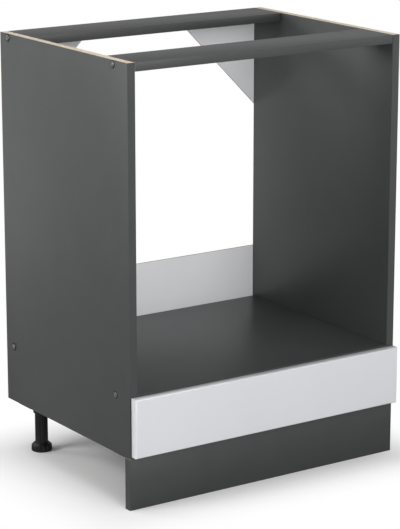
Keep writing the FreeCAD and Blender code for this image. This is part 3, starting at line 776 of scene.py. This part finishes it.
low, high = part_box("fascia_panel")
fascia_mesh = box_mesh(low, high)
round_edges(fascia_mesh, edges_at(fascia_mesh, low.y), fascia_round, fascia_round_steps)
round_edges(fascia_mesh, edges_at(fascia_mesh, high.y), arris)
foil = satin_foil()
piece(
    "fascia_front", fascia_mesh, [foil], "carcass", ["fascia_panel"],
    smooth_degrees=50,
)

for node in ("left_fascia_angle", "right_fascia_angle", "fascia_angle_screws"):
    finish_node(node, zinc)


# ---------------------------------------------------------------------------------------------
# Plinth
# A melamine board on the floor, taped at its two ends. Black clips screwed to its back snap
# over the two front legs, so the whole plinth pulls off forwards.

faced_board("plinth_board", 1, "plinth")
for side in ("left", "right"):
    finish_node(side + "_plinth_clip", black)
finish_node("plinth_clip_screws", zinc)


# ---------------------------------------------------------------------------------------------
# Room
# A pale floor that keeps the object's shadow and turns white beyond it, a white surround, and
# soft lights in front, at both sides, behind at the left and overhead.

floor_mesh = bmesh.new()
bmesh.ops.create_grid(floor_mesh, x_segments=1, y_segments=1, size=30.0)
floor_data = bpy.data.meshes.new("floor")
floor_mesh.to_mesh(floor_data)
floor_mesh.free()
floor = bpy.data.objects.new("floor", floor_data)
bpy.context.scene.collection.objects.link(floor)
floor_material, floor_nodes, floor_links, floor_shader = material_tree("floor", 0.9)
floor_shader.inputs["Specular IOR Level"].default_value = 0.0
floor_data.materials.append(floor_material)

world = bpy.data.worlds.new("surround")
bpy.context.scene.world = world
world.use_nodes = True


def value_by_ray(nodes, links, unseen, seen, mirrored):
    """One value for light on the object, others where the surround is seen or mirrored."""
    rays = nodes.new("ShaderNodeLightPath")
    value = None
    kinds = (("Is Camera Ray", seen), ("Is Transmission Ray", seen), ("Is Glossy Ray", mirrored))
    for kind, grey in kinds:
        step = nodes.new("ShaderNodeMapRange")
        step.inputs["To Min"].default_value = unseen
        if value is not None:
            links.new(value, step.inputs["To Min"])
        step.inputs["To Max"].default_value = grey
        links.new(rays.outputs[kind], step.inputs["Value"])
        value = step.outputs["Result"]
    return value


def beyond_rectangle(nodes, links, middle, half_size, softness):
    """How far a floor point lies outside a rectangle with soft corners, negative inside it."""
    place = nodes.new("ShaderNodeTexCoord")
    value = place.outputs["Object"]
    for operation, amount in (("SUBTRACT", middle), ("ABSOLUTE", None), ("SUBTRACT", half_size)):
        step = nodes.new("ShaderNodeVectorMath")
        step.operation = operation
        if amount is not None:
            step.inputs[1].default_value = amount
        links.new(value, step.inputs[0])
        value = step.outputs["Vector"]
    parts = nodes.new("ShaderNodeSeparateXYZ")
    links.new(value, parts.inputs["Vector"])
    larger = nodes.new("ShaderNodeMath")
    larger.operation = "SMOOTH_MAX"
    larger.inputs[2].default_value = softness
    links.new(parts.outputs["X"], larger.inputs[0])
    links.new(parts.outputs["Y"], larger.inputs[1])
    return larger.outputs["Value"]


def fade_to_white(nodes, links, shader, distance, seen_range, mirrored_range):
    """Turn a floor's shader white with distance from the object, where it is seen or mirrored."""
    fade = nodes.new("ShaderNodeMapRange")
    fade.interpolation_type = "SMOOTHSTEP"
    for name, seen, mirrored in zip(("From Min", "From Max"), seen_range, mirrored_range):
        links.new(value_by_ray(nodes, links, mirrored, seen, mirrored), fade.inputs[name])
    links.new(distance, fade.inputs["Value"])
    share = nodes.new("ShaderNodeMath")
    share.operation = "MULTIPLY"
    links.new(fade.outputs["Result"], share.inputs[0])
    links.new(value_by_ray(nodes, links, unseen=0.0, seen=1.0, mirrored=0.7), share.inputs[1])
    white = nodes.new("ShaderNodeEmission")
    mixed = nodes.new("ShaderNodeMixShader")
    links.new(share.outputs["Value"], mixed.inputs["Fac"])
    links.new(shader.outputs["BSDF"], mixed.inputs[1])
    links.new(white.outputs["Emission"], mixed.inputs[2])
    links.new(mixed.outputs["Shader"], nodes["Material Output"].inputs["Surface"])


floor_colour = value_by_ray(floor_nodes, floor_links, unseen=0.3, seen=1.0, mirrored=0.5)
floor_links.new(floor_colour, floor_shader.inputs["Base Color"])
shadow_middle = (-0.03, -0.01, 0.0)
shadow_half_size = (0.3, 0.2155, 0.0)
shadow_softness = 0.08
seen_fade = (-0.06, 0.15)
mirrored_fade = (0.33, 2.1)
from_shadow = beyond_rectangle(
    floor_nodes, floor_links, shadow_middle, shadow_half_size, shadow_softness
)
fade_to_white(floor_nodes, floor_links, floor_shader, from_shadow, seen_fade, mirrored_fade)

world_nodes, world_links = world.node_tree.nodes, world.node_tree.links
surround = world_nodes["Background"]
surround.inputs["Color"].default_value = (1.0, 1.0, 1.0, 1.0)
world_strength = value_by_ray(world_nodes, world_links, unseen=0.2, seen=1.0, mirrored=0.46)
world_links.new(world_strength, surround.inputs["Strength"])


def softbox(name, place, target, size, power, spread_degrees=180):
    """A square area light that looks at a point."""
    data = bpy.data.lights.new(name, "AREA")
    data.shape = "SQUARE"
    data.size = size
    data.energy = power
    data.spread = math.radians(spread_degrees)
    light = bpy.data.objects.new(name, data)
    bpy.context.scene.collection.objects.link(light)
    light.location = place
    light.rotation_euler = (Vector(target) - Vector(place)).to_track_quat("-Z", "Y").to_euler()


unit_middle = (0.0, 0.0, 0.45)
left_panel = (-0.3, 0.0, 0.6)
softbox("front", (0.0, -4.0, 1.9), unit_middle, size=2.5, power=62.0)
softbox("front_left", (-1.6, -3.8, 0.9), unit_middle, size=2.0, power=56.0)
softbox("left", (-4.0, -1.0, 0.8), unit_middle, size=2.0, power=32.0)
softbox("near_left", (-2.2, 0.4, 1.4), left_panel, size=1.0, power=6.8, spread_degrees=90)
softbox("right", (3.2, -2.6, 1.5), unit_middle, size=2.0, power=16.0)
softbox("rim", (-1.9, 2.4, 1.7), left_panel, size=0.6, power=3.2, spread_degrees=90)
softbox("overhead", (-0.4, 0.6, 4.0), unit_middle, size=1.6, power=22.0)

camera_data = bpy.data.cameras.new("camera")
camera_data.sensor_width = 36.0
camera_data.lens = 153.6
camera = bpy.data.objects.new("camera", camera_data)
bpy.context.scene.collection.objects.link(camera)
camera.location = (-2.349, -3.4606, 1.4406)
camera_down, camera_right = 14.34, 34.135
camera.rotation_euler = (math.radians(90 - camera_down), 0.0, math.radians(-camera_right))
bpy.context.scene.camera = camera
bpy.context.scene.view_settings.view_transform = "Standard"
